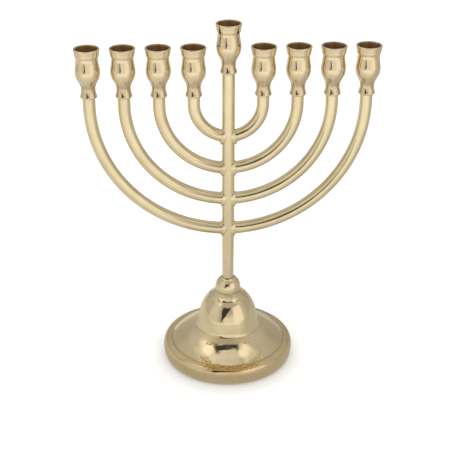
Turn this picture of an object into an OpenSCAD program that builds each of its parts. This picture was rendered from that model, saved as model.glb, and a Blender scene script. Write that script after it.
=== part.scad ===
// Nine-light menorah of polished brass: a round two-tier foot, a ball knop,
// a stem, four concentric pairs of branches in one plane and nine screw-on candle cups.
// Millimetres. +Z is up, the branches lie in the XZ plane, the front faces -Y and
// the origin is at the centre of the foot's underside.

/* [Branches] */
// Distance between neighbouring candle cups, also the step between branch radii
pitch = 22; // [20:0.5:26]
// Diameter of the round branch rod
rod_d = 8; // [7:0.1:8]
// Height of the common centre of the branch arcs
arc_z = 185.4; // [175:0.1:200]
// Diameter of the brazed peg on the inner end of each branch
peg_d = 3.9; // [3:0.1:4.4]
// Radial gap of the pegs in their cross holes
peg_gap = 0.05; // [0.02:0.01:0.1]

/* [Stem] */
// Diameter of the stem where the branches join it
stem_d = 8.2; // [8.2:0.1:9]
// Diameter of the stem where it enters the knop
stem_foot_d = 7.5; // [7.2:0.1:8.2]
// Height at which the stem's taper ends and the parallel part begins
taper_z = 104; // [70:1:150]
// Diameter of the threaded shank that ties the foot together
shank_d = 6; // [5:0.5:6.5]
// Height of the shank's lower end above the table
shank_low_z = 10; // [7:0.5:12]
// Thread pitch of the shank
shank_pitch = 1; // [0.75:0.05:1.25]

/* [Candle cups] */
// Height of the rims of the eight branch cups
rim_z = 223.4; // [215:0.1:235]
// Height of the rim of the raised servant cup
servant_rim_z = 238.4; // [230:0.1:250]
// Height of one cup from its skirt to its rim
cup_h = 31.9; // [31.9:0.1:31.9]
// Diameter of the candle bore
candle_d = 11; // [10.5:0.1:11.4]
// Length of the parallel part of the candle bore
candle_len = 12.5; // [10:0.5:13]
// Diameter of the mouth where the bore flares out at the rim
mouth_d = 14.2; // [12:0.1:14.4]
// Depth of the flare at the mouth
mouth_depth = 4; // [2:0.5:4]
// Depth of the skirt that hides the end of the rod
skirt_depth = 2; // [1.5:0.1:2.2]
// Diameter of the threaded tenon that carries a cup
tenon_d = 5; // [4:0.1:5]
// Length of the threaded tenon
tenon_len = 7.5; // [5:0.5:8]
// Thread pitch of the tenon
tenon_pitch = 0.8; // [0.7:0.1:1]

/* [Foot] */
// Outer radius of the foot
foot_r = 44.8; // [43.5:0.1:46]
// Height of the seat on which the bell stands
seat_z = 23.4; // [23.4:0.1:23.4]
// Height of the top of the bell
bell_top_z = 50; // [50:0.1:50]
// Outer radius of the bell's lower edge
bell_r = 22.2; // [22:0.1:22.4]
// Wall thickness of the bell
bell_wall = 2.4; // [2:0.1:3]
// Radius of the raised boss that centres the bell
boss_r = 18.8; // [17:0.1:18.9]
// Radius of the ball knop
knop_r = 8.6; // [8.2:0.1:9]
// Height of the knop's centre
knop_z = 52.7; // [52:0.1:54]

/* [Fasteners] */
// Width across the flats of the hexagon nut
nut_af = 10; // [9:0.5:11]
// Height of the nut
nut_h = 5; // [4:0.5:5]
// Outer diameter of the washer
washer_d = 18; // [14:1:22]
// Thickness of the washer
washer_t = 1.5; // [1:0.1:2]

/* [Hidden] */

$fn = 96;
EPS = 0.01;
RUN_GAP = 0.1;                             // radial running gap around the shank
FACE_GAP = 0.05;                           // gap between faces that turn on each other
rod_r = rod_d / 2;
stem_r = stem_d / 2;
stem_foot_r = stem_foot_d / 2;
shank_r = shank_d / 2;
tenon_r = tenon_d / 2;
candle_r = candle_d / 2;
rod_top_z = rim_z - cup_h + skirt_depth;   // shoulder of a branch rod inside its cup
stem_top_z = servant_rim_z - cup_h + skirt_depth;
crown_low_z = seat_z - 1.6;                // underside of the dish's crown
knop_seat_z = 58.8;                        // shoulder of the stem inside the knop
BRASS = [0.86, 0.74, 0.46];
BRASS_CUP = [0.88, 0.76, 0.48];
BRASS_FOOT = [0.80, 0.71, 0.52];
STEEL = [0.66, 0.67, 0.68];

// Catmull-Rom curve through four neighbouring points
function knot(a, b, c, d, t) =
    0.5 * (2 * b + (c - a) * t + (2 * a - 5 * b + 4 * c - d) * t * t
    + (3 * b - a - 3 * c + d) * t * t * t);

// Smooth line through every point of p, n steps between neighbours
function smooth(p, n = 4) = concat(
    [for (i = [0 : len(p) - 2]) for (k = [0 : n - 1])
        knot(p[max(i - 1, 0)], p[i], p[i + 1], p[min(i + 2, len(p) - 1)], k / n)],
    [p[len(p) - 1]]);

// Flanks of a thread drawn as rings, from z0 up to z1, crest radius r
function flanks(r, z0, z1, step) =
    let (n = floor((z1 - z0) / step), cut = 0.5 * step)
    [for (i = [0 : n - 1]) for (q = [[r - cut, 0], [r, 0.5]])
        [q[0], z0 + (i + q[1]) * step]];

// Solid turned from an outline that starts and ends on the axis
module turned(outline) {
    rotate_extrude() polygon(outline);
}

// Outline of a cup from its skirt up to its rim, radius and height
cup_skirt = [[5.0, 0], [5.35, 0.5], [5.3, 1.2], [5.0, 2.2], [4.62, 3.8], [4.46, 5.4],
    [4.6, 7.0], [5.2, 8.8], [6.15, 10.7], [7.05, 12.5], [7.65, 14.4], [7.9, 16.5],
    [7.8, 18.4], [7.45, 20.5], [7.15, 22.7], [6.98, 24.6], [7.0, 26.0]];
cup_lip = [[7.3, 26.5], [7.6, 27.3], [7.8, 28.6], [8.08, 30.2], [8.28, 31.3], [8.14, 31.7], [7.9, cup_h]];

// One candle cup standing on its skirt at the origin
module cup() {
    bore_low = cup_h - mouth_depth - candle_len;
    color(BRASS_CUP)
    difference() {
        turned(concat([[0, 0]], smooth(cup_skirt, 3), smooth(cup_lip, 3), [[0, cup_h]]));
        // parallel candle bore with a conical bottom
        translate([0, 0, bore_low]) cylinder(r = candle_r, h = candle_len + EPS);
        translate([0, 0, bore_low - 1.4]) cylinder(r1 = 1.2, r2 = candle_r, h = 1.4 + EPS);
        // flared mouth
        translate([0, 0, cup_h - mouth_depth])
            cylinder(r1 = candle_r, r2 = mouth_d / 2, h = mouth_depth + EPS);
        // skirt recess and tapped hole for the tenon
        translate([0, 0, -EPS]) cylinder(r = rod_r + 0.2, h = skirt_depth + EPS);
        translate([0, 0, skirt_depth - EPS]) cylinder(r = tenon_r + RUN_GAP, h = tenon_len + 0.7);
    }
}

// Cup on the k-th branch, k negative on the left
module branch_cup(k) {
    translate([k * pitch, 0, rim_z - cup_h]) cup();
}

// Threaded tenon standing at height z
module tenon(z) {
    top = z + tenon_len;
    turned(concat(
        [[0, z - 1], [tenon_r - 0.4, z - 1], [tenon_r - 0.4, z + 0.3]],
        flanks(tenon_r, z + 0.3, top - 0.6, tenon_pitch),
        [[tenon_r - 0.4, top - 0.6], [tenon_r - 0.9, top], [0, top]]));
}

// Quarter-circle branch of radius k * pitch on the +X side, with its peg and tenon
module branch(k) {
    radius = k * pitch;
    color(BRASS)
    union() {
        difference() {
            union() {
                translate([0, 0, arc_z]) rotate([90, 0, 0]) rotate(-90)
                    rotate_extrude(angle = 90) translate([radius, 0]) circle(r = rod_r);
                translate([radius, 0, arc_z - EPS]) cylinder(r = rod_r, h = rod_top_z - arc_z - 0.4);
                translate([radius, 0, rod_top_z - 0.42]) cylinder(r1 = rod_r, r2 = rod_r - 0.42, h = 0.42);
            }
            // saddle that fits the round of the stem
            translate([0, 0, arc_z - radius - 10]) cylinder(r = stem_r, h = 20);
        }
        // peg that is brazed into the stem's cross hole
        translate([0.2, 0, arc_z - radius]) rotate([0, 90, 0]) cylinder(d = peg_d, h = stem_r + 1.2);
        translate([radius, 0, 0]) tenon(rod_top_z);
    }
}

module left_branch(k) {
    mirror([1, 0, 0]) branch(k);
}

// Stem with its tapered lower part, threaded shank, tenon and cross holes
module stem() {
    thread_top = crown_low_z + 2;
    color(BRASS)
    difference() {
        union() {
            turned(concat(
                [[0, shank_low_z], [shank_r - 0.8, shank_low_z]],
                flanks(shank_r, shank_low_z + 0.6, thread_top, shank_pitch),
                [[shank_r, thread_top + 0.6], [shank_r, knop_seat_z],
                 [stem_foot_r, knop_seat_z], [stem_r, taper_z],
                 [stem_r, stem_top_z - 0.4], [stem_r - 0.4, stem_top_z], [0, stem_top_z]]));
            tenon(stem_top_z);
        }
        for (k = [1 : 4])
            translate([-stem_r - 1, 0, arc_z - k * pitch]) rotate([0, 90, 0])
                cylinder(r = peg_d / 2 + peg_gap, h = stem_d + 2);
    }
}

// Ball knop, flat underneath, bored for the shank and counterbored for the stem's shoulder
module knop() {
    color(BRASS)
    difference() {
        translate([0, 0, knop_z]) sphere(r = knop_r);
        translate([0, 0, knop_z - knop_r - 1])
            cylinder(r = knop_r + 1, h = bell_top_z + FACE_GAP - knop_z + knop_r + 1);
        translate([0, 0, bell_top_z - 1]) cylinder(r = shank_r + FACE_GAP, h = 2 * knop_r);
        translate([0, 0, knop_seat_z]) cylinder(r = stem_foot_r + 0.12, h = knop_r);
    }
}

// Outside of the bell from its lower edge up to the knop's seat
bell_line = [[bell_r, seat_z], [21.75, 24.1], [21.3, 25.6], [20.85, 27.8], [20.2, 30.8], [19.5, 33.8],
    [18.3, 37.5], [16.6, 41.2], [14.8, 44.0], [13.3, 45.8]];
bell_shoulder = [[13.0, 46.3], [11.6, 47.2], [10.0, 48.5], [8.9, 49.6], [8.5, bell_top_z]];

// Hollow turned bell that stands on the dish
module foot_bell() {
    inside = [for (p = smooth(bell_line, 3)) [p[0] - bell_wall, p[1] - 0.35 * bell_wall * (p[1] - seat_z) / 23]];
    color(BRASS_FOOT)
    difference() {
        turned(concat([[0, seat_z]], smooth(bell_line, 3), smooth(bell_shoulder, 3), [[0, bell_top_z]]));
        turned(concat([[0, seat_z - 1], [bell_r - bell_wall, seat_z - 1]], inside,
            [[shank_r + 2, 46.6], [0, 46.6]]));
        translate([0, 0, seat_z]) cylinder(r = shank_r + RUN_GAP, h = bell_top_z);
    }
}

// Outside of the dish from the table up over the rim and the dome to the bell's seat
dish_rim = [[42.0, 0], [43.4, 0.9], [44.4, 2.8], [foot_r, 5.4], [foot_r - 0.06, 8.2],
    [44.2, 10.5], [43.2, 11.9], [41.8, 12.5], [40.3, 12.7], [39.5, 12.6]];
dish_dome = [[39.1, 12.75], [37.6, 13.9], [34.6, 16.2], [31.0, 18.6], [29.2, 19.72], [27.4, 20.75],
    [25.8, 21.6], [24.0, 22.52], [bell_r + 0.1, seat_z]];
// Underside of the dish
dish_under = [[18.0, crown_low_z], [22.0, 19.9], [26.5, 17.8], [31.0, 15.0], [35.0, 12.0],
    [38.2, 9.4], [40.0, 8.6], [41.3, 7.2], [41.6, 5.0], [41.0, 2.4], [39.4, 0]];

// Cast dish with a rounded rim, hollow underneath, with a boss that centres the bell
module foot_dish() {
    color(BRASS_FOOT)
    difference() {
        turned(concat(
            [[0, crown_low_z]], smooth(dish_under, 3), smooth(dish_rim, 4), smooth(dish_dome, 3),
            [[boss_r, seat_z], [boss_r, seat_z + 1.4], [boss_r - 0.6, seat_z + 2], [0, seat_z + 2]]));
        translate([0, 0, crown_low_z - 1]) cylinder(r = shank_r + RUN_GAP, h = 12);
    }
}

module washer() {
    color(STEEL)
    difference() {
        translate([0, 0, crown_low_z - washer_t]) cylinder(d = washer_d, h = washer_t);
        translate([0, 0, crown_low_z - washer_t - 1]) cylinder(r = shank_r + 0.2, h = washer_t + 2);
    }
}

// Hexagon nut with chamfered corners, just clear of the washer
module hex_nut() {
    top = crown_low_z - washer_t - FACE_GAP;
    color(STEEL)
    difference() {
        intersection() {
            translate([0, 0, top - nut_h]) cylinder(d = nut_af / cos(30), h = nut_h, $fn = 6);
            turned([[0, top - nut_h], [nut_af / 2, top - nut_h], [nut_af / 2 + 1, top - nut_h + 0.58],
                [nut_af / 2 + 1, top - 0.58], [nut_af / 2, top], [0, top]]);
        }
        translate([0, 0, top - nut_h - 1]) cylinder(r = shank_r + FACE_GAP, h = nut_h + 2);
    }
}

foot_dish();
foot_bell();
washer();
hex_nut();
knop();
stem();
left_branch(1);  // left_branch_1
left_branch(2);  // left_branch_2
left_branch(3);  // left_branch_3
left_branch(4);  // left_branch_4
branch(1);  // right_branch_1
branch(2);  // right_branch_2
branch(3);  // right_branch_3
branch(4);  // right_branch_4
translate([0, 0, servant_rim_z - cup_h]) cup();  // servant_cup
branch_cup(-1);  // left_cup_1
branch_cup(-2);  // left_cup_2
branch_cup(-3);  // left_cup_3
branch_cup(-4);  // left_cup_4
branch_cup(1);  // right_cup_1
branch_cup(2);  // right_cup_2
branch_cup(3);  // right_cup_3
branch_cup(4);  // right_cup_4
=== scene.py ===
"""Looks of the brass menorah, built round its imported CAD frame. Metres, +Z up, front towards -Y."""
import math

import bpy
from mathutils import Matrix, Vector


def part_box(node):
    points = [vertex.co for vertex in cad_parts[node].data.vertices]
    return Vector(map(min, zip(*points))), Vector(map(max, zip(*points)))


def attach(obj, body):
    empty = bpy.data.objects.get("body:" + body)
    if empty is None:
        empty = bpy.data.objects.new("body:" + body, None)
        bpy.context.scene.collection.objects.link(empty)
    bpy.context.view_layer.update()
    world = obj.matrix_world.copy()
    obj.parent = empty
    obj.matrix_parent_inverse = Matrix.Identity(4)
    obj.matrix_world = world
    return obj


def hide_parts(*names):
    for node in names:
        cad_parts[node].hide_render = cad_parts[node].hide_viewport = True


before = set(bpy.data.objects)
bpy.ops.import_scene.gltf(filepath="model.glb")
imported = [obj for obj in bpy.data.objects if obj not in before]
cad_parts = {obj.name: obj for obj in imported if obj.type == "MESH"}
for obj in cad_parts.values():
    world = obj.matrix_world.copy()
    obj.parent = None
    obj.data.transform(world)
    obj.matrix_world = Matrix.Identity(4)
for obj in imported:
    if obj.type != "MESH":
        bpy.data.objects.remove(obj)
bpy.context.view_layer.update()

MM = 0.001
TAU = 2 * math.pi
SIDES = (("left", -1), ("right", 1))
RANKS = (1, 2, 3, 4)

# Sizes that several pieces share, in millimetres, as in the part's source
ROD_R, STEM_R, TENON_R, SHANK_R = 4.0, 4.1, 2.5, 3.0
TENON_LENGTH, TENON_PITCH, TENON_THREAD = 7.5, 0.8, 0.42
SHANK_LENGTH, SHANK_PITCH, SHANK_THREAD = 13.4, 1.0, 0.5
BORE_R = 3.1
CUP_HEIGHT = 31.9
KNOP_CENTRE_Z, KNOP_SHOULDER_Z = 52.7, 58.8
SEAT_Z, BELL_R, BELL_TOP_Z, BELL_WALL = 23.4, 22.2, 50.0, 2.4
BOSS_R, BOSS_TOP_Z, CROWN_LOW_Z = 18.8, 25.4, 21.8


# ---------------------------------------------------------------- curves and meshes
def knot(a, b, c, d, t):
    """Catmull-Rom between b and c."""
    return tuple(0.5 * (2 * q + (r - p) * t + (2 * p - 5 * q + 4 * r - s) * t * t
                        + (3 * q - p - 3 * r + s) * t ** 3)
                 for p, q, r, s in zip(a, b, c, d))


def smooth(points, steps):
    """Points of a smooth line through all the given points."""
    out = []
    last = len(points) - 1
    for i in range(last):
        a, b, c, d = points[max(i - 1, 0)], points[i], points[i + 1], points[min(i + 2, last)]
        out += [knot(a, b, c, d, k / steps) for k in range(steps)]
    return out + [tuple(points[-1])]


def wobble(t, seed):
    """A small smooth ripple between about -1 and 1, the same every run."""
    waves = 4
    total = 0.0
    for i in range(1, waves + 1):
        phase = math.sin(seed * 12.9898 + i * 78.233) * 43758.5453
        total += math.sin(t * i * 2.1 + (phase % 1.0) * TAU) / i
    return total / 2.0


def round_angles(count):
    return [TAU * i / count for i in range(count)]


def new_object(name, verts, faces, marks=None, at=(0, 0, 0)):
    """A smooth-shaded mesh object. marks is {attribute: value per vertex}; at is its origin."""
    mesh = bpy.data.meshes.new(name)
    mesh.from_pydata(verts, [], faces)
    mesh.validate()
    for key, values in (marks or {}).items():
        layer = mesh.attributes.new(key, "FLOAT", "POINT")
        layer.data.foreach_set("value", values)
    mesh.polygons.foreach_set("use_smooth", [True] * len(mesh.polygons))
    mesh.update()
    obj = bpy.data.objects.new(name, mesh)
    bpy.context.scene.collection.objects.link(obj)
    obj.location = at
    return obj


class Shell:
    """Collects faces and vertices, in millimetres, and three surface marks per vertex, from 0 to 1.

    The first mark is painted shade in creases, recesses, seams and along edges where parts sit, in brown,
    with a few plain brown bands; honey is light golden tarnish, on the dish also painted shade and a painted
    reflection; satin is a lack of polish.
    """

    def __init__(self):
        self.verts, self.faces, self.patina, self.honey, self.satin = [], [], [], [], []

    def ring(self, points, patina=0.0, honey=0.0, satin=0.0):
        """Adds one ring of points with its marks. honey is one value or a list of one per point."""
        start = len(self.verts)
        self.verts += points
        self.patina += [patina] * len(points)
        self.honey += honey if isinstance(honey, list) else [honey] * len(points)
        self.satin += [satin] * len(points)
        return start, len(points)

    def bridge(self, a, b):
        """Faces between two rings, either of which may be a single point."""
        (sa, na), (sb, nb) = a, b
        n = max(na, nb)
        for i in range(n):
            j = (i + 1) % n
            if na == 1:
                self.faces.append((sa, sb + j, sb + i))
            elif nb == 1:
                self.faces.append((sa + i, sa + j, sb))
            else:
                self.faces.append((sa + i, sa + j, sb + j, sb + i))

    def turn(self, outline, angles, patina=None, height=None, honey=None, satin=None):
        """Turns an outline of (radius, height) round the vertical axis.

        The three mark functions work out the marks, the first of them the painted shade and brown bands, and
        height moves a point outwards and upwards.
        """
        previous = None
        for i, (r, z) in enumerate(outline):
            mark = patina(r, z, i) if patina else 0.0
            if r < 1e-6:
                ring = self.ring([(0.0, 0.0, z)], mark)
            else:
                pts = []
                for a in angles:
                    dr, dz = height(r, z, a, i) if height else (0.0, 0.0)
                    pts.append(((r + dr) * math.cos(a), (r + dr) * math.sin(a), z + dz))
                honey_values = [honey(r, z, a) for a in angles] if honey else 0.0
                ring = self.ring(pts, mark, honey_values, satin(r, z) if satin else 0.0)
            if previous is not None:
                self.bridge(previous, ring)
            previous = ring

    def thread(self, x, radius, depth, low, top, pitch):
        """A helical thread standing on the vertical through (x, 0), bevelled and closed at its top."""
        # the last value darkens the whole thread with painted shade, as it sits inside a hole
        sides, rows_per_turn, bevel, thread_shade = 40, 8, 0.35, 0.25
        high = top - bevel
        rows = max(2, int((high - low) / pitch * rows_per_turn))
        previous = None
        for i in range(rows + 1):
            z = low + (high - low) * i / rows
            fade = min(1.0, (high - z) / pitch, (z - low) / (0.6 * pitch))
            pts = []
            for k, a in enumerate(round_angles(sides)):
                phase = (z / pitch - k / sides) % 1.0
                crest = 1.0 - abs(2.0 * phase - 1.0)
                r = radius - depth + depth * min(1.0, 1.25 * crest) * max(0.0, fade)
                pts.append((x + r * math.cos(a), r * math.sin(a), z))
            ring = self.ring(pts, thread_shade)
            if previous is not None:
                self.bridge(previous, ring)
            previous = ring
        tip_r = radius - 1.6 * depth
        edge = [(x + tip_r * math.cos(a), tip_r * math.sin(a), top) for a in round_angles(sides)]
        tip = self.ring(edge, thread_shade)
        self.bridge(previous, tip)
        self.bridge(tip, self.ring([(x, 0.0, top)], thread_shade))

    def build(self, name, at=(0, 0, 0)):
        verts = [(x * MM, y * MM, z * MM) for x, y, z in self.verts]
        marks = {"patina": self.patina, "honey": self.honey, "satin": self.satin}
        return new_object(name, verts, self.faces, marks, at)


# ---------------------------------------------------------------- materials
class Nodes:
    """Short calls for building one node material."""

    def __init__(self, name):
        self.mat = bpy.data.materials.new(name)
        self.mat.use_nodes = True
        self.tree = self.mat.node_tree
        self.shader = self.tree.nodes["Principled BSDF"]
        self.coord = self.add("ShaderNodeTexCoord").outputs["Object"]

    def add(self, kind, **values):
        node = self.tree.nodes.new(kind)
        for key, value in values.items():
            setattr(node, key, value)
        return node

    def link(self, a, b):
        self.tree.links.new(a, b)

    def noise(self, scale, detail, rough, stretch=None):
        node = self.add("ShaderNodeTexNoise")
        node.inputs["Scale"].default_value = scale
        node.inputs["Detail"].default_value = detail
        node.inputs["Roughness"].default_value = rough
        source = self.coord
        if stretch:
            mapping = self.add("ShaderNodeMapping")
            mapping.inputs["Scale"].default_value = stretch
            self.link(source, mapping.inputs["Vector"])
            source = mapping.outputs["Vector"]
        self.link(source, node.inputs["Vector"])
        return node.outputs["Fac"]

    def ramp(self, value, low, high, out_low=0.0, out_high=1.0):
        """Goes smoothly from out_low to out_high while value goes from low to high."""
        node = self.add("ShaderNodeMapRange")
        node.interpolation_type = "SMOOTHSTEP"
        limits = (("From Min", low), ("From Max", high), ("To Min", out_low), ("To Max", out_high))
        for key, number in limits:
            node.inputs[key].default_value = number
        self.link(value, node.inputs["Value"])
        return node.outputs["Result"]

    def math(self, op, a, b=0.0):
        node = self.add("ShaderNodeMath", operation=op)
        for socket, value in zip(node.inputs, (a, b)):
            if isinstance(value, (int, float)):
                socket.default_value = value
            else:
                self.link(value, socket)
        return node.outputs["Value"]

    def times(self, value, *factors):
        for factor in factors:
            value = self.math("MULTIPLY", value, factor)
        return value

    def mix(self, factor, a, b):
        """Colour a where factor is 0, colour b where it is 1."""
        node = self.add("ShaderNodeMix", data_type="RGBA")
        # sockets 6, 7 and the output 2 are the colour ones of this node
        self.link(factor, node.inputs[0])
        for socket, value in ((node.inputs[6], a), (node.inputs[7], b)):
            if isinstance(value, tuple):
                socket.default_value = (*value, 1.0)
            else:
                self.link(value, socket)
        return node.outputs[2]

    def mark(self, name):
        return self.add("ShaderNodeAttribute", attribute_name=name, attribute_type="GEOMETRY").outputs["Fac"]

    def bump(self, height, distance, normal=None):
        node = self.add("ShaderNodeBump")
        node.inputs["Strength"].default_value = 1.0
        node.inputs["Distance"].default_value = distance
        self.link(height, node.inputs["Height"])
        if normal is not None:
            self.link(normal, node.inputs["Normal"])
        return node.outputs["Normal"]


# the gold of the tarnish, also used for painted shade and a painted reflection on the dish
TARNISH_AND_PAINTED_LIGHT = (0.60, 0.385, 0.135)
# the brown of the painted shade and of a few plain brown bands
SHADE_AND_STAIN_BROWN = (0.24, 0.128, 0.054)
RINGS = (60, 60, 2600)        # stretches noise into fine rings round the vertical
UPRIGHTS = (900, 900, 140)    # stretches noise into fine upright lines


def brass(name, light, dark, rough, wave, turning=False):
    """Polished brass whose colour drifts from light to dark, tinted gold by the honey mark, browned by the
    painted shade and brown bands of the first mark, and dulled by the surface marks.

    wave is the height of the ripples left by polishing, in millimetres, and turning gives it the
    fine rings of a lathe in place of upright lines.
    """
    n = Nodes(name)
    drift = n.ramp(n.noise(55, 3, 0.55), 0.35, 0.68)
    colour = n.mix(drift, light, dark)
    freckle = n.ramp(n.noise(420, 2, 0.6), 0.66, 0.78, 0.0, 0.35)
    colour = n.mix(freckle, colour, tuple(c * 0.62 for c in dark))
    blotch = n.ramp(n.noise(700, 4, 0.65), 0.25, 0.75, 0.72, 1.25)
    # the honey mark: golden tarnish, and on the dish painted shade in the groove and a painted reflection on
    # the ring
    tarnish_and_painted_light = n.ramp(n.times(n.mark("honey"), blotch), 0.0, 1.0)
    colour = n.mix(tarnish_and_painted_light, colour, TARNISH_AND_PAINTED_LIGHT)
    # painted shade in creases, recesses, seams and where parts sit, with a few plain brown bands, mixed in
    # as brown
    shaded_and_stained = n.ramp(n.times(n.mark("patina"), blotch), 0.08, 0.95)
    colour = n.mix(shaded_and_stained, colour, SHADE_AND_STAIN_BROWN)
    n.link(colour, n.shader.inputs["Base Color"])
    n.shader.inputs["Metallic"].default_value = 1.0
    smear = n.ramp(n.noise(140, 4, 0.6), 0.3, 0.75, rough, rough + 0.09)
    dull = n.math("ADD", n.times(shaded_and_stained, 0.42), n.times(n.mark("satin"), 0.24))
    n.link(n.math("ADD", smear, dull), n.shader.inputs["Roughness"])
    ripple = n.bump(n.noise(95, 1, 0.4), wave * MM)
    grain = n.noise(1.0, 2, 0.5, stretch=RINGS if turning else UPRIGHTS)
    lines = n.bump(grain, 0.00352 * MM, ripple)
    scratch = n.bump(n.noise(2600, 2, 0.7), 0.0018 * MM, lines)
    n.link(scratch, n.shader.inputs["Normal"])
    return n.mat


def plated_steel():
    """The zinc of the washer and nut, with a spangle and a few stains."""
    n = Nodes("plated_steel")
    spangle = n.ramp(n.noise(600, 3, 0.6), 0.3, 0.7)
    colour = n.mix(spangle, (0.62, 0.62, 0.60), (0.44, 0.45, 0.47))
    stain = n.ramp(n.noise(150, 4, 0.6), 0.58, 0.74, 0.0, 0.6)
    colour = n.mix(stain, colour, (0.34, 0.31, 0.24))
    n.link(colour, n.shader.inputs["Base Color"])
    n.shader.inputs["Metallic"].default_value = 1.0
    n.link(n.ramp(n.noise(300, 3, 0.6), 0.3, 0.7, 0.28, 0.46), n.shader.inputs["Roughness"])
    n.link(n.bump(n.noise(1500, 3, 0.6), 0.012 * MM), n.shader.inputs["Normal"])
    return n.mat


BRANCH_BRASS = brass("branch_brass", (0.84, 0.74, 0.505), (0.78, 0.665, 0.445), 0.07, 0.05)
CUP_BRASS = brass("cup_brass", (0.83, 0.705, 0.485), (0.77, 0.63, 0.43), 0.07, 0.05, turning=True)
FOOT_BRASS = brass("foot_brass", (0.82, 0.705, 0.475), (0.765, 0.645, 0.42), 0.035, 0.12,
                   turning=True)
STEEL = plated_steel()


def finish_piece(obj, material, slot, body, *nodes):
    """Gives a piece its material and the body it rides on, and hides the CAD nodes it stands for."""
    obj.data.materials.append(material)
    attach(obj, body)
    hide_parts(*nodes)
    return obj


def mm_box(node):
    """A CAD node's lowest and highest corner in millimetres."""
    lo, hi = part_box(node)
    return [v / MM for v in lo], [v / MM for v in hi]


# ---------------------------------------------------------------- candle cups
CUP_SKIRT = [(5.0, 0), (5.35, 0.5), (5.3, 1.2), (5.0, 2.2), (4.62, 3.8), (4.46, 5.4),
             (4.6, 7.0), (5.2, 8.8), (6.15, 10.7), (7.05, 12.5), (7.65, 14.4), (7.9, 16.5),
             (7.8, 18.4), (7.45, 20.5), (7.15, 22.7), (6.98, 24.6), (7.0, 26.0)]
CUP_LIP = [(7.3, 26.5), (7.6, 27.3), (7.8, 28.6), (8.08, 30.2), (8.28, 31.3), (8.16, 31.7),
           (7.9, CUP_HEIGHT - 0.02), (7.6, CUP_HEIGHT)]
CUP_INSIDE = [(7.36, CUP_HEIGHT - 0.02), (7.2, 31.78), (7.06, 31.5), (6.62, 30.7), (6.14, 29.5),
              (5.66, 28.3), (5.5, 27.8), (5.5, 25.4), (5.5, 20.4), (5.48, 15.6), (5.3, 15.3),
              (3.2, 14.5), (1.2, 14.1), (0, 14.0)]
CUP_HOLE = [(0, 10.1), (2.4, 10.0), (2.6, 9.6), (2.6, 2.15), (2.75, 2.0), (4.1, 2.0), (4.2, 1.9),
            (4.2, 0.12), (4.3, 0.0), (4.85, 0.0)]


def cup_mesh(name, seed, at):
    """One turned cup with its flared mouth, candle bore, skirt recess and tapped hole."""
    outline = CUP_HOLE + smooth(CUP_SKIRT, 4) + smooth(CUP_LIP, 4) + CUP_INSIDE
    last_hidden = len(CUP_HOLE) - 3
    first_inside = len(outline) - len(CUP_INSIDE)
    neck_z, groove_low, groove_high, edge_z = 7.0, 25.8, 26.8, 0.6

    def patina(r, z, i):
        # painted shade: in the hidden hole and recess, down the bore, darker the deeper it goes, in the
        # groove under the lip and along the lowest edge, where the cup sits on its branch
        if i <= last_hidden:
            return 0.6
        if i >= first_inside:
            return min(1.0, 0.30 + (CUP_HEIGHT - z) / 1.2)
        if groove_low < z < groove_high:
            return 0.16
        # the narrow neck is made a little browner
        neck = 0.40 * math.exp(-((z - neck_z) / 3.6) ** 2)
        return max(neck, 0.16 if z < edge_z else 0.0)

    def uneven(r, z, a, i):
        return 0.02 * wobble(2 * a + z * 0.2, seed) * (1 if z > 3 else 0), 0.0

    shell = Shell()
    shell.turn(outline, round_angles(112), patina, uneven)
    return shell.build(name, at)


def make_cup(node, seed):
    lo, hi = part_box(node)
    at = ((lo[0] + hi[0]) / 2, 0.0, lo[2])
    obj = cup_mesh(node + "_turned", seed, at)
    finish_piece(obj, CUP_BRASS, "cup_brass", node + "_body", node)


make_cup("servant_cup", 1)
for side, sign in SIDES:
    for rank in RANKS:
        make_cup(f"{side}_cup_{rank}", 2 * rank + (sign > 0))


# ---------------------------------------------------------------- branches
FILLET = 2.1
# how far from the stem's axis the sections through the fillet stand
FILLET_SECTIONS = [1.0, 2.4, 3.4, 4.1, 4.25, 4.45, 4.7, 5.0, 5.35, 5.75, 6.2, 6.8]


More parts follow.
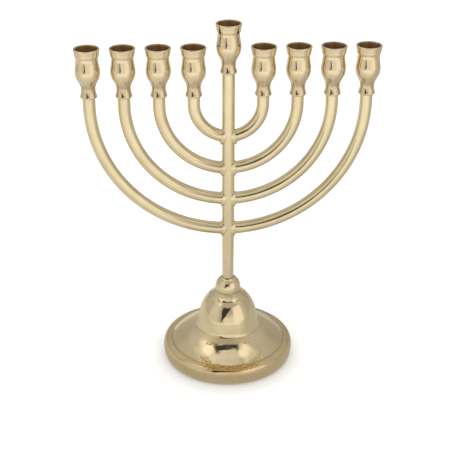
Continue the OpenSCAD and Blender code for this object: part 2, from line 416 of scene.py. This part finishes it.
def make_branch(side, sign, rank):
    """A bent rod that runs out of the stem with a brazed fillet and ends in a threaded tenon."""
    node = f"{side}_branch_{rank}"
    lo, hi = mm_box(node)
    far = max(abs(lo[0]), abs(hi[0]))
    radius = far - ROD_R
    arc_z = lo[2] + ROD_R + radius
    tenon_top = hi[2]
    shoulder = tenon_top - TENON_LENGTH
    sides = 56
    steps = 26 + 14 * rank
    bends = [math.asin(x / radius) for x in FILLET_SECTIONS]
    start = bends[-1]
    bends += [start + (math.pi / 2 - start) * i / steps for i in range(1, steps + 1)]
    shell = Shell()
    previous = None
    seed = rank * 7 + (3 if sign > 0 else 0)

    def section(centre, normal, tall, wide, mark, roll):
        """One slightly uneven section across the rod; normal is its upper side's direction in x and z."""
        pts = []
        for a in round_angles(sides):
            ca, sa = math.cos(a), math.sin(a)
            rr = 1.0 + 0.0035 * wobble(2 * a + roll, seed)
            pts.append((sign * (centre[0] + normal[0] * ca * tall * rr), centre[1] + sa * wide * rr,
                        centre[2] + normal[1] * ca * tall * rr))
        return shell.ring(pts, mark)

    for bend in bends:
        x = radius * math.sin(bend)
        z = arc_z - radius * math.cos(bend)
        gap = max(0.0, min(FILLET, x - STEM_R))
        swell = FILLET - math.sqrt(max(0.0, FILLET ** 2 - (FILLET - gap) ** 2))
        # painted shade where the rod runs into the stem
        mark = 0.30 * max(0.0, 1 - abs(x - STEM_R - 0.5) / 1.6)
        drift = 0.06 * wobble(bend * 3, seed) * min(1.0, x / 20.0)
        # a little narrower where it runs into the stem, so that its sides stay inside
        wide = ROD_R * (0.975 if x < STEM_R + 1 else 1.0)
        ring = section((x, drift, z), (-math.sin(bend), math.cos(bend)), ROD_R + swell, wide, mark, bend * 4)
        if previous is None:
            shell.bridge(shell.ring([(sign * x, 0, z)], 0.0), ring)
        else:
            shell.bridge(previous, ring)
        previous = ring
    upright = ((arc_z + 2, ROD_R), (arc_z + 5, ROD_R), (shoulder - 0.45, ROD_R),
               (shoulder - 0.12, ROD_R - 0.3), (shoulder, ROD_R - 0.55), (shoulder, TENON_R - 0.4))
    for z, r in upright:
        ring = section((radius, 0.0, z), (-1.0, 0.0), r, r, 0.0, z)
        shell.bridge(previous, ring)
        previous = ring
    # painted shade on the hidden end under the tenon
    shell.bridge(previous, shell.ring([(sign * radius, 0, shoulder)], 0.3))
    shell.thread(sign * radius, TENON_R, TENON_THREAD, shoulder - 0.05, tenon_top, TENON_PITCH)
    obj = shell.build(node + "_rod")
    if sign < 0:
        obj.data.flip_normals()
    finish_piece(obj, BRANCH_BRASS, "branch_brass", "candelabrum", node)


for side, sign in SIDES:
    for rank in RANKS:
        make_branch(side, sign, rank)


# ---------------------------------------------------------------- stem and knop
def make_stem():
    lo, hi = mm_box("stem")
    shoulder = hi[2] - TENON_LENGTH
    seat = KNOP_SHOULDER_Z
    plain_low = lo[2] + SHANK_LENGTH - 0.4
    taper = [(3.75, seat + 0.3), (3.86, 76), (4.0, 92), (4.08, 102), (STEM_R, 110), (STEM_R, 125)]
    outline = [(0, plain_low), (SHANK_R, plain_low), (SHANK_R, seat), (3.6, seat), (3.75, seat + 0.15)]
    outline += smooth(taper, 8)
    outline += [(STEM_R, z) for z in range(130, int(shoulder) - 1, 4)]
    outline += [(STEM_R, shoulder - 0.45), (STEM_R - 0.3, shoulder - 0.12), (STEM_R - 0.55, shoulder),
                (TENON_R - 0.4, shoulder), (0, shoulder)]
    # a faint brown band just above each joint
    bands_above_joints = [mm_box(f"right_branch_{k}")[0][2] + ROD_R + 5.2 for k in RANKS]

    def patina(r, z, i):
        # painted shade where the stem goes down into the knop
        if z < seat + 1.8:
            return 0.35
        near = min(abs(z - stain) for stain in bands_above_joints)
        return 0.12 * max(0.0, 1 - near / 1.6)

    def uneven(r, z, a, i):
        return (0.015 * wobble(2 * a + z * 0.08, 5), 0.0) if 62 < z < shoulder - 2 else (0.0, 0.0)

    shell = Shell()
    shell.turn(outline, round_angles(72), patina, uneven)
    shell.thread(0.0, TENON_R, TENON_THREAD, shoulder - 0.05, hi[2], TENON_PITCH)
    # the shank's own thread hangs below the plain part, so it is built upside down and turned over
    low = Shell()
    low.thread(0.0, SHANK_R, SHANK_THREAD, 0.0, SHANK_LENGTH, SHANK_PITCH)
    start = len(shell.verts)
    shell.verts += [(x, -y, lo[2] + SHANK_LENGTH - z) for x, y, z in low.verts]
    shell.faces += [tuple(start + i for i in f) for f in low.faces]
    # the threaded shank is darkened with painted shade
    shell.patina += [0.35] * len(low.verts)
    shell.honey += [0.0] * len(low.verts)
    shell.satin += [0.0] * len(low.verts)
    finish_piece(shell.build("stem_turned"), BRANCH_BRASS, "branch_brass", "candelabrum", "stem")


def make_knop():
    lo, hi = mm_box("knop")
    radius = (hi[0] - lo[0]) / 2
    seat = lo[2]
    low = math.asin((seat - KNOP_CENTRE_Z) / radius)
    top = math.acos(3.95 / radius)
    steps = 40

    def on_ball(angle):
        return radius * math.cos(angle), KNOP_CENTRE_Z + radius * math.sin(angle)

    ball = [on_ball(low + (top - low) * i / steps) for i in range(steps + 1)]
    # the lowest edge is rounded off a little
    ball[0] = (ball[0][0] - 0.18, ball[0][1])
    ball.insert(1, on_ball(low + 0.012))
    bore = [(3.92, ball[-1][1] - 0.12), (3.88, KNOP_SHOULDER_Z), (3.05, KNOP_SHOULDER_Z - 0.1), (3.05, seat)]
    outline = ball + bore + [ball[0]]

    def patina(r, z, i):
        # painted shade along the lowest edge, where the ball sits on the bell, and in the bore
        edge = max(0.0, 1 - (z - seat) / 0.9)
        return 0.35 * edge + (0.3 if r < 4.0 else 0.0)

    def uneven(r, z, a, i):
        return (0.03 * wobble(2 * a + z * 0.4, 11), 0.0) if 0 < i <= steps else (0.0, 0.0)

    shell = Shell()
    shell.turn(outline, round_angles(112), patina, uneven)
    finish_piece(shell.build("knop_ball"), BRANCH_BRASS, "branch_brass", "candelabrum", "knop")


make_stem()
make_knop()


# ---------------------------------------------------------------- foot
FRONT = -math.pi / 2
BELL_LINE = [(BELL_R, SEAT_Z), (21.75, 24.1), (21.3, 25.6), (20.85, 27.8), (20.2, 30.8), (19.5, 33.8),
             (18.3, 37.5), (16.6, 41.2), (14.8, 44.0), (13.3, 45.8)]
BELL_SHOULDER = [(13.0, 46.3), (11.6, 47.2), (10.0, 48.5), (8.9, 49.6), (8.5, BELL_TOP_Z)]
DISH_RIM = [(42.0, 0), (43.4, 0.9), (44.4, 2.8), (44.8, 5.4), (44.74, 8.2),
            (44.2, 10.5), (43.2, 11.9), (41.8, 12.5), (40.3, 12.7), (39.5, 12.6)]
DISH_DOME = [(39.1, 12.75), (37.6, 13.9), (34.6, 16.2), (31.0, 18.6), (29.2, 19.72), (27.4, 20.75),
             (25.8, 21.6), (24.0, 22.52), (BELL_R + 0.1, SEAT_Z)]
DISH_UNDER = [(18.0, CROWN_LOW_Z), (22.0, 19.9), (26.5, 17.8), (31.0, 15.0), (35.0, 12.0),
              (38.2, 9.4), (40.0, 8.6), (41.3, 7.2), (41.6, 5.0), (41.0, 2.4), (39.4, 0)]


def make_bell():
    # the lower edge is rounded off a little, so the outline starts just inside and above it
    outer = [(21.8, SEAT_Z + 0.02)] + smooth(BELL_LINE, 6)[1:] + smooth(BELL_SHOULDER, 6)
    inner = [(BORE_R, BELL_TOP_Z), (BORE_R, 46.8)]
    inner += [(r - BELL_WALL, z - 0.04 * (z - SEAT_Z)) for r, z in reversed(smooth(BELL_LINE, 3))]
    outline = outer + inner + [outer[0]]
    n_outer = len(outer)

    def patina(r, z, i):
        # painted shade: inside, along the lower edge where the bell sits on the dish, and round the top
        # where the knop sits
        if i >= n_outer:
            return 0.5
        seam = 0.12 * max(0.0, 1 - (z - SEAT_Z) / 0.6)
        crown = 0.28 * max(0.0, 1 - abs(r - 8.8) / 0.8) if z > BELL_TOP_Z - 1 else 0.0
        return seam + crown

    def uneven(r, z, a, i):
        return (0.05 * wobble(2 * a + z * 0.15, 17), 0.0) if 2 < i < n_outer - 4 else (0.0, 0.0)

    shell = Shell()
    shell.turn(outline, round_angles(144), patina, uneven)
    finish_piece(shell.build("bell_turned"), FOOT_BRASS, "foot_brass", "foot", "foot_bell")


def leaf(u, v, cu, cv, angle, length, width):
    """Height, 0 to 1, of a veined leaf centred at (cu, cv) in the unrolled foot surface."""
    du, dv = u - cu, v - cv
    along = (du * math.cos(angle) + dv * math.sin(angle)) / (length / 2)
    across = (-du * math.sin(angle) + dv * math.cos(angle)) / (width / 2)
    if abs(along) >= 1:
        return 0.0
    half = (1 - along * along) ** 0.8
    edge = 1 - abs(across) / max(half, 1e-6)
    if edge <= 0:
        return 0.0
    rise = min(1.0, edge * 2.2) * (0.75 + 0.25 * math.cos(along * math.pi / 2))
    vein = 0.35 * math.exp(-(across / 0.16) ** 2)
    return max(0.0, rise - vein)


# The line of the two sprigs: radius at the front, how far it draws in at the ends, half length
SPRIG_R, SPRIG_DRAW, SPRIG_HALF = 41.2, 4.8, 24.0
SPRIG_HEIGHT = 0.42
LEAVES = 8
# The crest of the rim, and half the length along which the ornament is worn to grains on it
CREST_R, WORN_HALF = 42.3, 23
ORNAMENT_LOW_Z = 9
GROOVE_R = 39.3


def sprig_line(side):
    """Radius of the sprigs' line at a distance from the front, given as a share of its half length."""
    return SPRIG_R - SPRIG_DRAW * side * side


def sprig_shapes():
    """Leaves and berries of two olive sprigs that meet at the front: kind, place and size."""
    shapes = []
    for sign in (-1, 1):
        for i in range(LEAVES):
            t = (i + 0.6) / LEAVES
            u = sign * SPRIG_HALF * t
            v = sprig_line(t)
            heading = math.atan2(-2 * SPRIG_DRAW * t, SPRIG_HALF)
            spread = 0.62 if i % 2 else -0.62
            angle = (heading + spread) if sign > 0 else math.pi - (heading + spread)
            cu = u + sign * 0.9
            cv = v + (0.95 if i % 2 else -0.95)
            shapes.append(("leaf", cu, cv, angle, 3.9 - 0.9 * t, 1.55 - 0.3 * t))
            if i in (2, 5):
                shapes.append(("berry", u + sign * 0.2, v - (1.5 if i % 2 else -1.5), 0.62))
    shapes.append(("berry", 0.0, SPRIG_R + 0.1, 0.85))
    return shapes


SPRIG = sprig_shapes()


def sprig_height(u, v):
    """Height of the raised ornament, in mm, at u along the rim from the front and at radius v."""
    if abs(u) > SPRIG_HALF + 5 or v < SPRIG_R - SPRIG_DRAW - 3.4:
        return 0.0
    best = 0.0
    side = abs(u) / SPRIG_HALF
    if side < 1:
        line = abs(v - sprig_line(side))
        best = 0.55 * max(0.0, 1 - (line / 0.34) ** 2)
    for kind, cu, cv, *size in SPRIG:
        if abs(u - cu) > 4 or abs(v - cv) > 4:
            continue
        if kind == "leaf":
            best = max(best, leaf(u, v, cu, cv, *size))
        else:
            distance = math.hypot(u - cu, v - cv) / size[0]
            if distance < 1:
                best = max(best, math.sqrt(1 - distance * distance))
    return SPRIG_HEIGHT * best


def worn_band(u, r, z):
    """Where the casting's ornament runs on over the crest of the rim, worn to grains: 0 to 1."""
    if z < ORNAMENT_LOW_Z or abs(u) > WORN_HALF:
        return 0.0
    return math.exp(-((r - CREST_R) / 1.7) ** 4) * max(0.0, 1 - abs(u / WORN_HALF) ** 5)


def grains(u, r, seed):
    """An irregular ripple of grains a millimetre or two across."""
    return 0.6 * wobble(0.9 * u + 0.7 * r, seed) + 0.5 * wobble(1.5 * u - 1.2 * r, seed + 6)


def outline_normals(outline):
    """The outward direction, in radius and height, at each point of an outline."""
    normals = []
    for i in range(len(outline)):
        a, b = outline[max(i - 1, 0)], outline[min(i + 1, len(outline) - 1)]
        dr, dz = b[0] - a[0], b[1] - a[1]
        size = math.hypot(dr, dz) or 1.0
        normals.append((dz / size, -dr / size))
    return normals


def dish_angles():
    """Directions round the dish: every 0.4 degrees over the ornament, every 2.5 degrees elsewhere."""
    fine = [FRONT + math.radians(-40 + 0.4 * i) for i in range(201)]
    coarse = [FRONT + math.radians(40 + 2.5 * i) for i in range(1, 112)]
    return fine + coarse


def make_dish():
    under = [(BORE_R, BOSS_TOP_Z), (BORE_R, CROWN_LOW_Z)] + smooth(DISH_UNDER, 4)
    rim = smooth(DISH_RIM, 10)
    dome = smooth(DISH_DOME, 12)
    ledge_z = SEAT_Z - 0.02
    crown = [(BELL_R - 0.2, ledge_z), (BOSS_R, ledge_z), (BOSS_R, 24.8), (BOSS_R - 0.6, BOSS_TOP_Z)]
    outline = under + rim + dome + crown + [under[0]]
    n_under, n_top = len(under), len(under) + len(rim) + len(dome)
    normals = outline_normals(outline)

    def patina(r, z, i):
        # painted shade: under the dish, in the groove, beside the bell and along the edge on the table
        if i < n_under:
            return 0.42
        groove = 0.30 * max(0.0, 1 - abs(r - GROOVE_R + 0.05) / 0.8) if z > 10 else 0.0
        seam = 0.14 * max(0.0, 1 - (r - BELL_R) / 0.8) if r < BELL_R + 1.8 else 0.0
        table = 0.3 * max(0.0, 1 - z / 0.8)
        return groove + seam + table

    def relief(r, z, a, i):
        """The ornament, its worn band and the casting's slight unevenness, outwards from the surface."""
        if not n_under <= i < n_top or z < 3:
            return 0.0, 0.0
        turn = a - FRONT
        if turn > math.pi:
            turn -= TAU
        u = turn * r
        rise = sprig_height(u, r) if abs(turn) < 0.8 and z > ORNAMENT_LOW_Z else 0.0
        rise += 0.05 * wobble(2 * a + z * 0.2, 23)
        rise += 0.06 * worn_band(u, r, z) * grains(u, r, 41)
        nr, nz = normals[i]
        return rise * nr, rise * nz

    def honey(r, z, a):
        """Golden tint: painted shade in the groove, tarnish with a painted reflection of the dome along the
        ring and over the crest's worn band, and tarnish between the leaves of the sprig.
        """
        if z < 1.0 or r < 26:
            return 0.0
        turn = (a - FRONT + math.pi) % TAU - math.pi
        # painted shade along the groove
        groove = 0.55 * math.exp(-((r - GROOVE_R) / 1.0) ** 2) if z > 10 else 0.0
        # tarnish on the ring, with a painted reflection of the dome's brown-gold
        ring = 0.34 if r > 40.5 else 0.0
        sprig = 0.0
        if abs(turn) < 0.9 and z > 7:
            u = turn * r
            side = abs(u) / SPRIG_HALF
            off_line = r - sprig_line(min(side, 1.3)) - 0.5
            band = math.exp(-(off_line / 2.9) ** 4) * max(0.0, 1 - side ** 4)
            mottle = 0.95 + 0.6 * grains(u, r, 31)
            sprig = band * mottle * (1.0 - 0.55 * min(1.0, sprig_height(u, r) / 0.3))
            # over the worn band on the crest: tarnish with a painted reflection of the dome's brown-gold,
            # which hides the crest's highlight
            sprig = max(sprig, worn_band(u, r, z) * (1.0 + 0.8 * grains(u, r, 41)))
        return min(1.0, max(groove, ring, sprig))

    def satin(r, z):
        """Dull close to the bell, where a buffing wheel does not reach."""
        return max(0.0, min(1.0, (26.7 - r) / 1.6)) if z > 18 else 0.0

    shell = Shell()
    shell.turn(outline, dish_angles(), patina, relief, honey, satin)
    finish_piece(shell.build("dish_cast"), FOOT_BRASS, "foot_brass", "foot", "foot_dish")


make_bell()
make_dish()

for name in ("washer", "hex_nut"):
    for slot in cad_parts[name].material_slots:
        slot.material = STEEL


# ---------------------------------------------------------------- studio
def plain(name, colour, rough):
    """A plain matt material of one colour."""
    mat = bpy.data.materials.new(name)
    mat.use_nodes = True
    shader = mat.node_tree.nodes["Principled BSDF"]
    shader.inputs["Base Color"].default_value = (*colour, 1)
    shader.inputs["Roughness"].default_value = rough
    return mat


def panel(name, size, material, height=0.0):
    """A flat square, size metres from its middle to its sides."""
    corners = [(-size, -size, 0), (size, -size, 0), (size, size, 0), (-size, size, 0)]
    obj = new_object(name, corners, [(0, 1, 2, 3)], at=(0, 0, height))
    obj.data.materials.append(material)
    return obj


def only_reflected(obj):
    """Lets an object show in reflections only."""
    obj.visible_camera = obj.visible_diffuse = obj.visible_shadow = obj.visible_transmission = False


DEGREES = 360 / TAU
LIGHT_TINT = (1.0, 0.958, 0.87)


class Light(Nodes):
    """An emission material whose strength is built up from soft windows in place or direction.

    azimuth and elevation are seen from the origin of the object that glows, in degrees. azimuth is
    0 at the front and grows towards the right. x, y, z and radius are in metres.
    """

    def __init__(self, name):
        super().__init__(name)
        self.tree.nodes.remove(self.shader)
        self.glow = self.add("ShaderNodeEmission")
        self.glow.inputs["Color"].default_value = (*LIGHT_TINT, 1)
        self.link(self.glow.outputs[0], self.tree.nodes["Material Output"].inputs["Surface"])
        split = self.add("ShaderNodeSeparateXYZ")
        self.link(self.coord, split.inputs[0])
        self.x, self.y, self.z = split.outputs
        self.azimuth = self.times(self.math("ARCTAN2", self.x, self.times(self.y, -1.0)), DEGREES)
        squares = self.math("ADD", self.times(self.x, self.x), self.times(self.y, self.y))
        self.radius = self.math("SQRT", squares)
        self.elevation = self.times(self.math("ARCTAN2", self.z, self.radius), DEGREES)

    def window(self, value, low, high, soft):
        """1 between low and high, 0 outside, with soft edges."""
        rise = self.ramp(value, low - soft, low + soft)
        fall = self.ramp(value, high - soft, high + soft, 1.0, 0.0)
        return self.times(rise, fall)

    def patch(self, az, el, soft, strength):
        """A soft-edged rectangle of light, from az[0] to az[1] and from el[0] to el[1]."""
        across = self.window(self.azimuth, *az, soft)
        upwards = self.window(self.elevation, *el, soft)
        return self.times(across, upwards, strength)

    def emit(self, value):
        self.link(value, self.glow.inputs["Strength"])


# The tent's radius in millimetres, and the height of its middle above the table in metres
TENT_RADIUS, TENT_MIDDLE = 1200.0, 0.1
# Brighter and darker areas of the tent: azimuth and elevation in degrees, softness, added strength
LIGHT_PATCHES = [
    ((22, 62), (-8, 36), 6, 0.54), ((-22, 22), (-8, 13), 6, 0.38), ((60, 82), (-8, 40), 8, 0.12),
    ((-82, -42), (-8, 44), 7, 0.20), ((-60, -42), (38, 50), 5, 0.30),
    ((-125, -75), (50, 71), 6, 0.36), ((-100, -44), (60, 71), 4, 0.36),
    ((52, 92), (50, 74), 5, 0.24), ((58, 98), (60, 72), 5, 0.40),
    ((-46, 60), (64, 100), 6, 0.26), ((100, 180), (56, 100), 8, 0.14),
    ((125, 181), (-8, 30), 10, -0.08), ((-181, -125), (-8, 30), 10, -0.08),
    ((75, 181), (34, 60), 10, 0.06), ((-181, -75), (34, 50), 10, 0.06)]


def light_tent():
    """The soft light tent round the table. It lights only the polished surfaces that mirror it."""
    n = Light("tent_light")
    total = n.ramp(n.azimuth, -60, 10, 0.57, 0.52)
    for az, el, soft, strength in LIGHT_PATCHES:
        total = n.math("ADD", total, n.patch(az, el, soft, strength))
    # the dark of the camera and its stand in the opening of the tent
    edge = n.math("SUBTRACT", n.azimuth, n.times(n.elevation, 1.1))
    stand = n.times(n.ramp(n.azimuth, -32, -28), n.ramp(edge, -27, -23, 1.0, 0.0),
                    n.window(n.elevation, -2, 37, 2))
    # a long lamp overhead, and beside it the dark rail that carries the tent, with its two end plates
    overhead = n.ramp(n.elevation, 50, 60)
    lamp = n.times(n.window(n.x, -0.62, 0.52, 0.05), n.window(n.y, 0.04, 0.34, 0.02), overhead)
    total = n.math("ADD", total, n.times(lamp, 0.36))
    rail = n.times(n.window(n.x, -0.32, 0.27, 0.012), n.window(n.y, -0.14, 0.03, 0.015))
    left_end = n.times(n.window(n.x, -0.36, -0.25, 0.015), n.window(n.y, -0.20, 0.30, 0.03))
    right_end = n.times(n.window(n.x, 0.22, 0.30, 0.015), n.window(n.y, -0.20, 0.30, 0.03))
    ends = n.math("MAXIMUM", n.times(left_end, 0.85), n.times(right_end, 0.65))
    dark = n.math("MAXIMUM", stand, n.times(n.math("MAXIMUM", rail, ends), overhead))
    n.emit(n.times(total, n.math("SUBTRACT", 1.0, n.times(dark, 0.90))))
    arc = [math.radians(elevation) for elevation in range(-6, 90, 3)]
    outline = [(TENT_RADIUS * math.cos(a), TENT_RADIUS * math.sin(a)) for a in arc]
    shell = Shell()
    shell.turn(outline + [(0, TENT_RADIUS)], round_angles(96))
    tent = shell.build("tent", (0, 0, TENT_MIDDLE))
    tent.data.materials.append(n.mat)
    only_reflected(tent)


def table_glow():
    """The table as the polished brass mirrors it: dimmer beside the foot, brighter in front."""
    n = Light("table_light")
    total = n.ramp(n.radius, 0.05, 0.10, 0.54, 0.73)
    front = n.times(n.window(n.azimuth, -60, 55, 25), n.ramp(n.radius, 0.08, 0.55))
    total = n.math("ADD", total, n.times(front, 0.36))
    shade = n.times(n.window(n.azimuth, 50, 300, 18), n.ramp(n.radius, 0.05, 0.10))
    n.emit(n.math("SUBTRACT", total, n.times(shade, 0.16)))
    card = panel("table_mirror", 1.3, n.mat, -0.0004)
    only_reflected(card)


# ---------------------------------------------------------------- camera and world
# Camera angles in radians, its place in metres, and its sensor and lens in millimetres, all fitted
# to the photograph
YAW, PAN, TILT, ROLL = 0.057, 0.005, 0.471, -0.006
DISTANCE, HEIGHT = 0.6625, 0.4342
SENSOR_WIDTH, LENS = 36.0, 85.49614
WORLD_STRENGTH = 1.25


def add_camera():
    """The camera at the photograph's angle."""
    tilted, level = math.sin(TILT), math.cos(TILT)
    forward = Vector((math.sin(PAN) * level, math.cos(PAN) * level, -tilted))
    up = Vector((math.sin(PAN) * tilted, math.cos(PAN) * tilted, level))
    right = Vector((math.cos(PAN), -math.sin(PAN), 0.0))
    rolled_right = right * math.cos(ROLL) - up * math.sin(ROLL)
    rolled_up = right * math.sin(ROLL) + up * math.cos(ROLL)
    basis = Matrix((rolled_right, rolled_up, -forward)).transposed().to_4x4()
    data = bpy.data.cameras.new("camera")
    data.sensor_fit = "HORIZONTAL"
    data.sensor_width = SENSOR_WIDTH
    data.lens = LENS
    data.clip_end = 20.0
    camera = bpy.data.objects.new("camera", data)
    bpy.context.scene.collection.objects.link(camera)
    place = Matrix.Translation((0.0, -DISTANCE, HEIGHT))
    camera.matrix_world = Matrix.Rotation(-YAW, 4, "Z") @ place @ basis
    bpy.context.scene.camera = camera


def white_world():
    """An even white surround that lights everything and that reflections don't see."""
    world = bpy.data.worlds.new("world")
    bpy.context.scene.world = world
    world.use_nodes = True
    background = world.node_tree.nodes["Background"]
    background.inputs["Color"].default_value = (1.0, 1.0, 1.0, 1)
    background.inputs["Strength"].default_value = WORLD_STRENGTH
    world.cycles_visibility.glossy = False


light_tent()
table_glow()
floor = panel("floor", 8.0, plain("floor_white", (0.93, 0.93, 0.92), rough=0.9))
floor.visible_glossy = False
add_camera()
white_world()
bpy.context.scene.view_settings.view_transform = "Standard"
